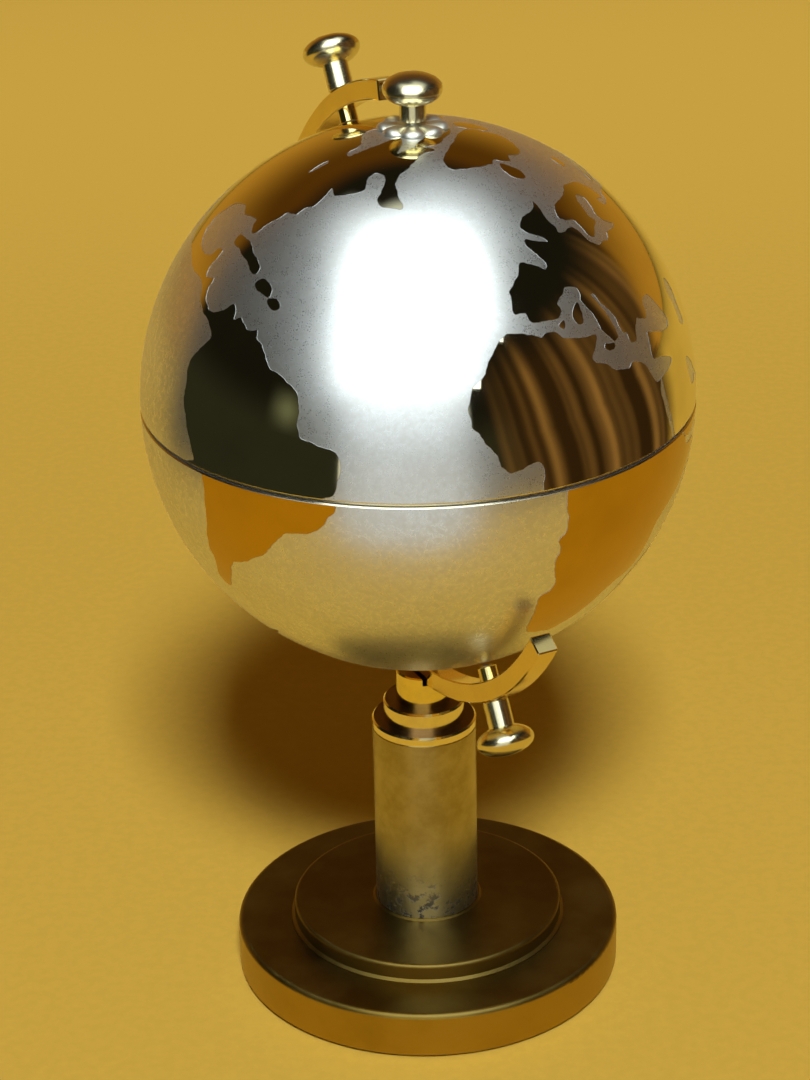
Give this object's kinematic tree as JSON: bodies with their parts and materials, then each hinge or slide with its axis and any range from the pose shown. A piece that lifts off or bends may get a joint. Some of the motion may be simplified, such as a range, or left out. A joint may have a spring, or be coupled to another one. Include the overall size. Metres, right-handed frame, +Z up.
{
  "type": "desk globe",
  "caption": "Polished metal desk globe in upper and lower halves, inside a C-shaped meridian arm with mushroom-headed pull pins, on a column with a stepped round base.",
  "frame": {"origin": "middle of the underside of the base, on the vertical axis of the stand and globe", "axes": "+Z up along the stand's axis; -Y is the front; +X is to the right seen from the front"},
  "size_m": [0.1, 0.1015, 0.1779],
  "materials": {
    "satin_nickel": "satin, fine brushed",
    "polished_nickel": "polished",
    "bronzed_base": "satin, bronzed",
    "brass": "turned",
    "steel": "plain turned",
    "felt": "felt"
  },
  "bodies": {
    "stand": {"base_felt": "felt", "base_disc": "bronzed_base", "base_washer": "steel", "base_nut": "steel", "tie_rod": "steel", "tier_disc": "bronzed_base", "column_foot_plug": "brass", "column_tube": "satin_nickel", "column_cap": "polished_nickel", "step_collar": "polished_nickel", "neck_post": "polished_nickel", "meridian_arm": "polished_nickel", "upper_pin_collar": "polished_nickel", "lower_pin_collar": "polished_nickel", "pivot_spacer": "brass", "pivot_screw": "steel"},
    "globe_bowl": {"bowl": "satin_nickel", "bowl_boss": "brass", "bowl_rim_ring": "brass", "pivot_washer": "brass"},
    "globe_lid": {"lid": "satin_nickel", "lid_rosette": "satin_nickel", "lid_knob": "polished_nickel", "lid_stud": "steel", "lid_washer": "steel", "lid_nut": "steel"},
    "upper_pin": {"upper_pin_knob": "polished_nickel", "upper_pin_rod": "steel"},
    "lower_pin": {"lower_pin_knob": "polished_nickel", "lower_pin_rod": "steel"}
  },
  "joints": [
    {"name": "globe_turn", "type": "hinge", "parent": "stand", "child": "globe_bowl", "pos_m": [0, 0, 0.1185], "axis": [0, 0, 1], "continuous": true},
    {"name": "lid_turn", "type": "hinge", "parent": "globe_bowl", "child": "globe_lid", "pos_m": [0, 0, 0.1185], "axis": [0, 0, 1], "continuous": true},
    {"name": "upper_pin_draw", "type": "slide", "parent": "stand", "child": "upper_pin", "axis": [-0.2255, 0.4445, 0.8669], "range_m": [0, 0.003]},
    {"name": "lower_pin_draw", "type": "slide", "parent": "stand", "child": "lower_pin", "axis": [0.2255, -0.4445, -0.8669], "range_m": [0, 0.003]}
  ]
}
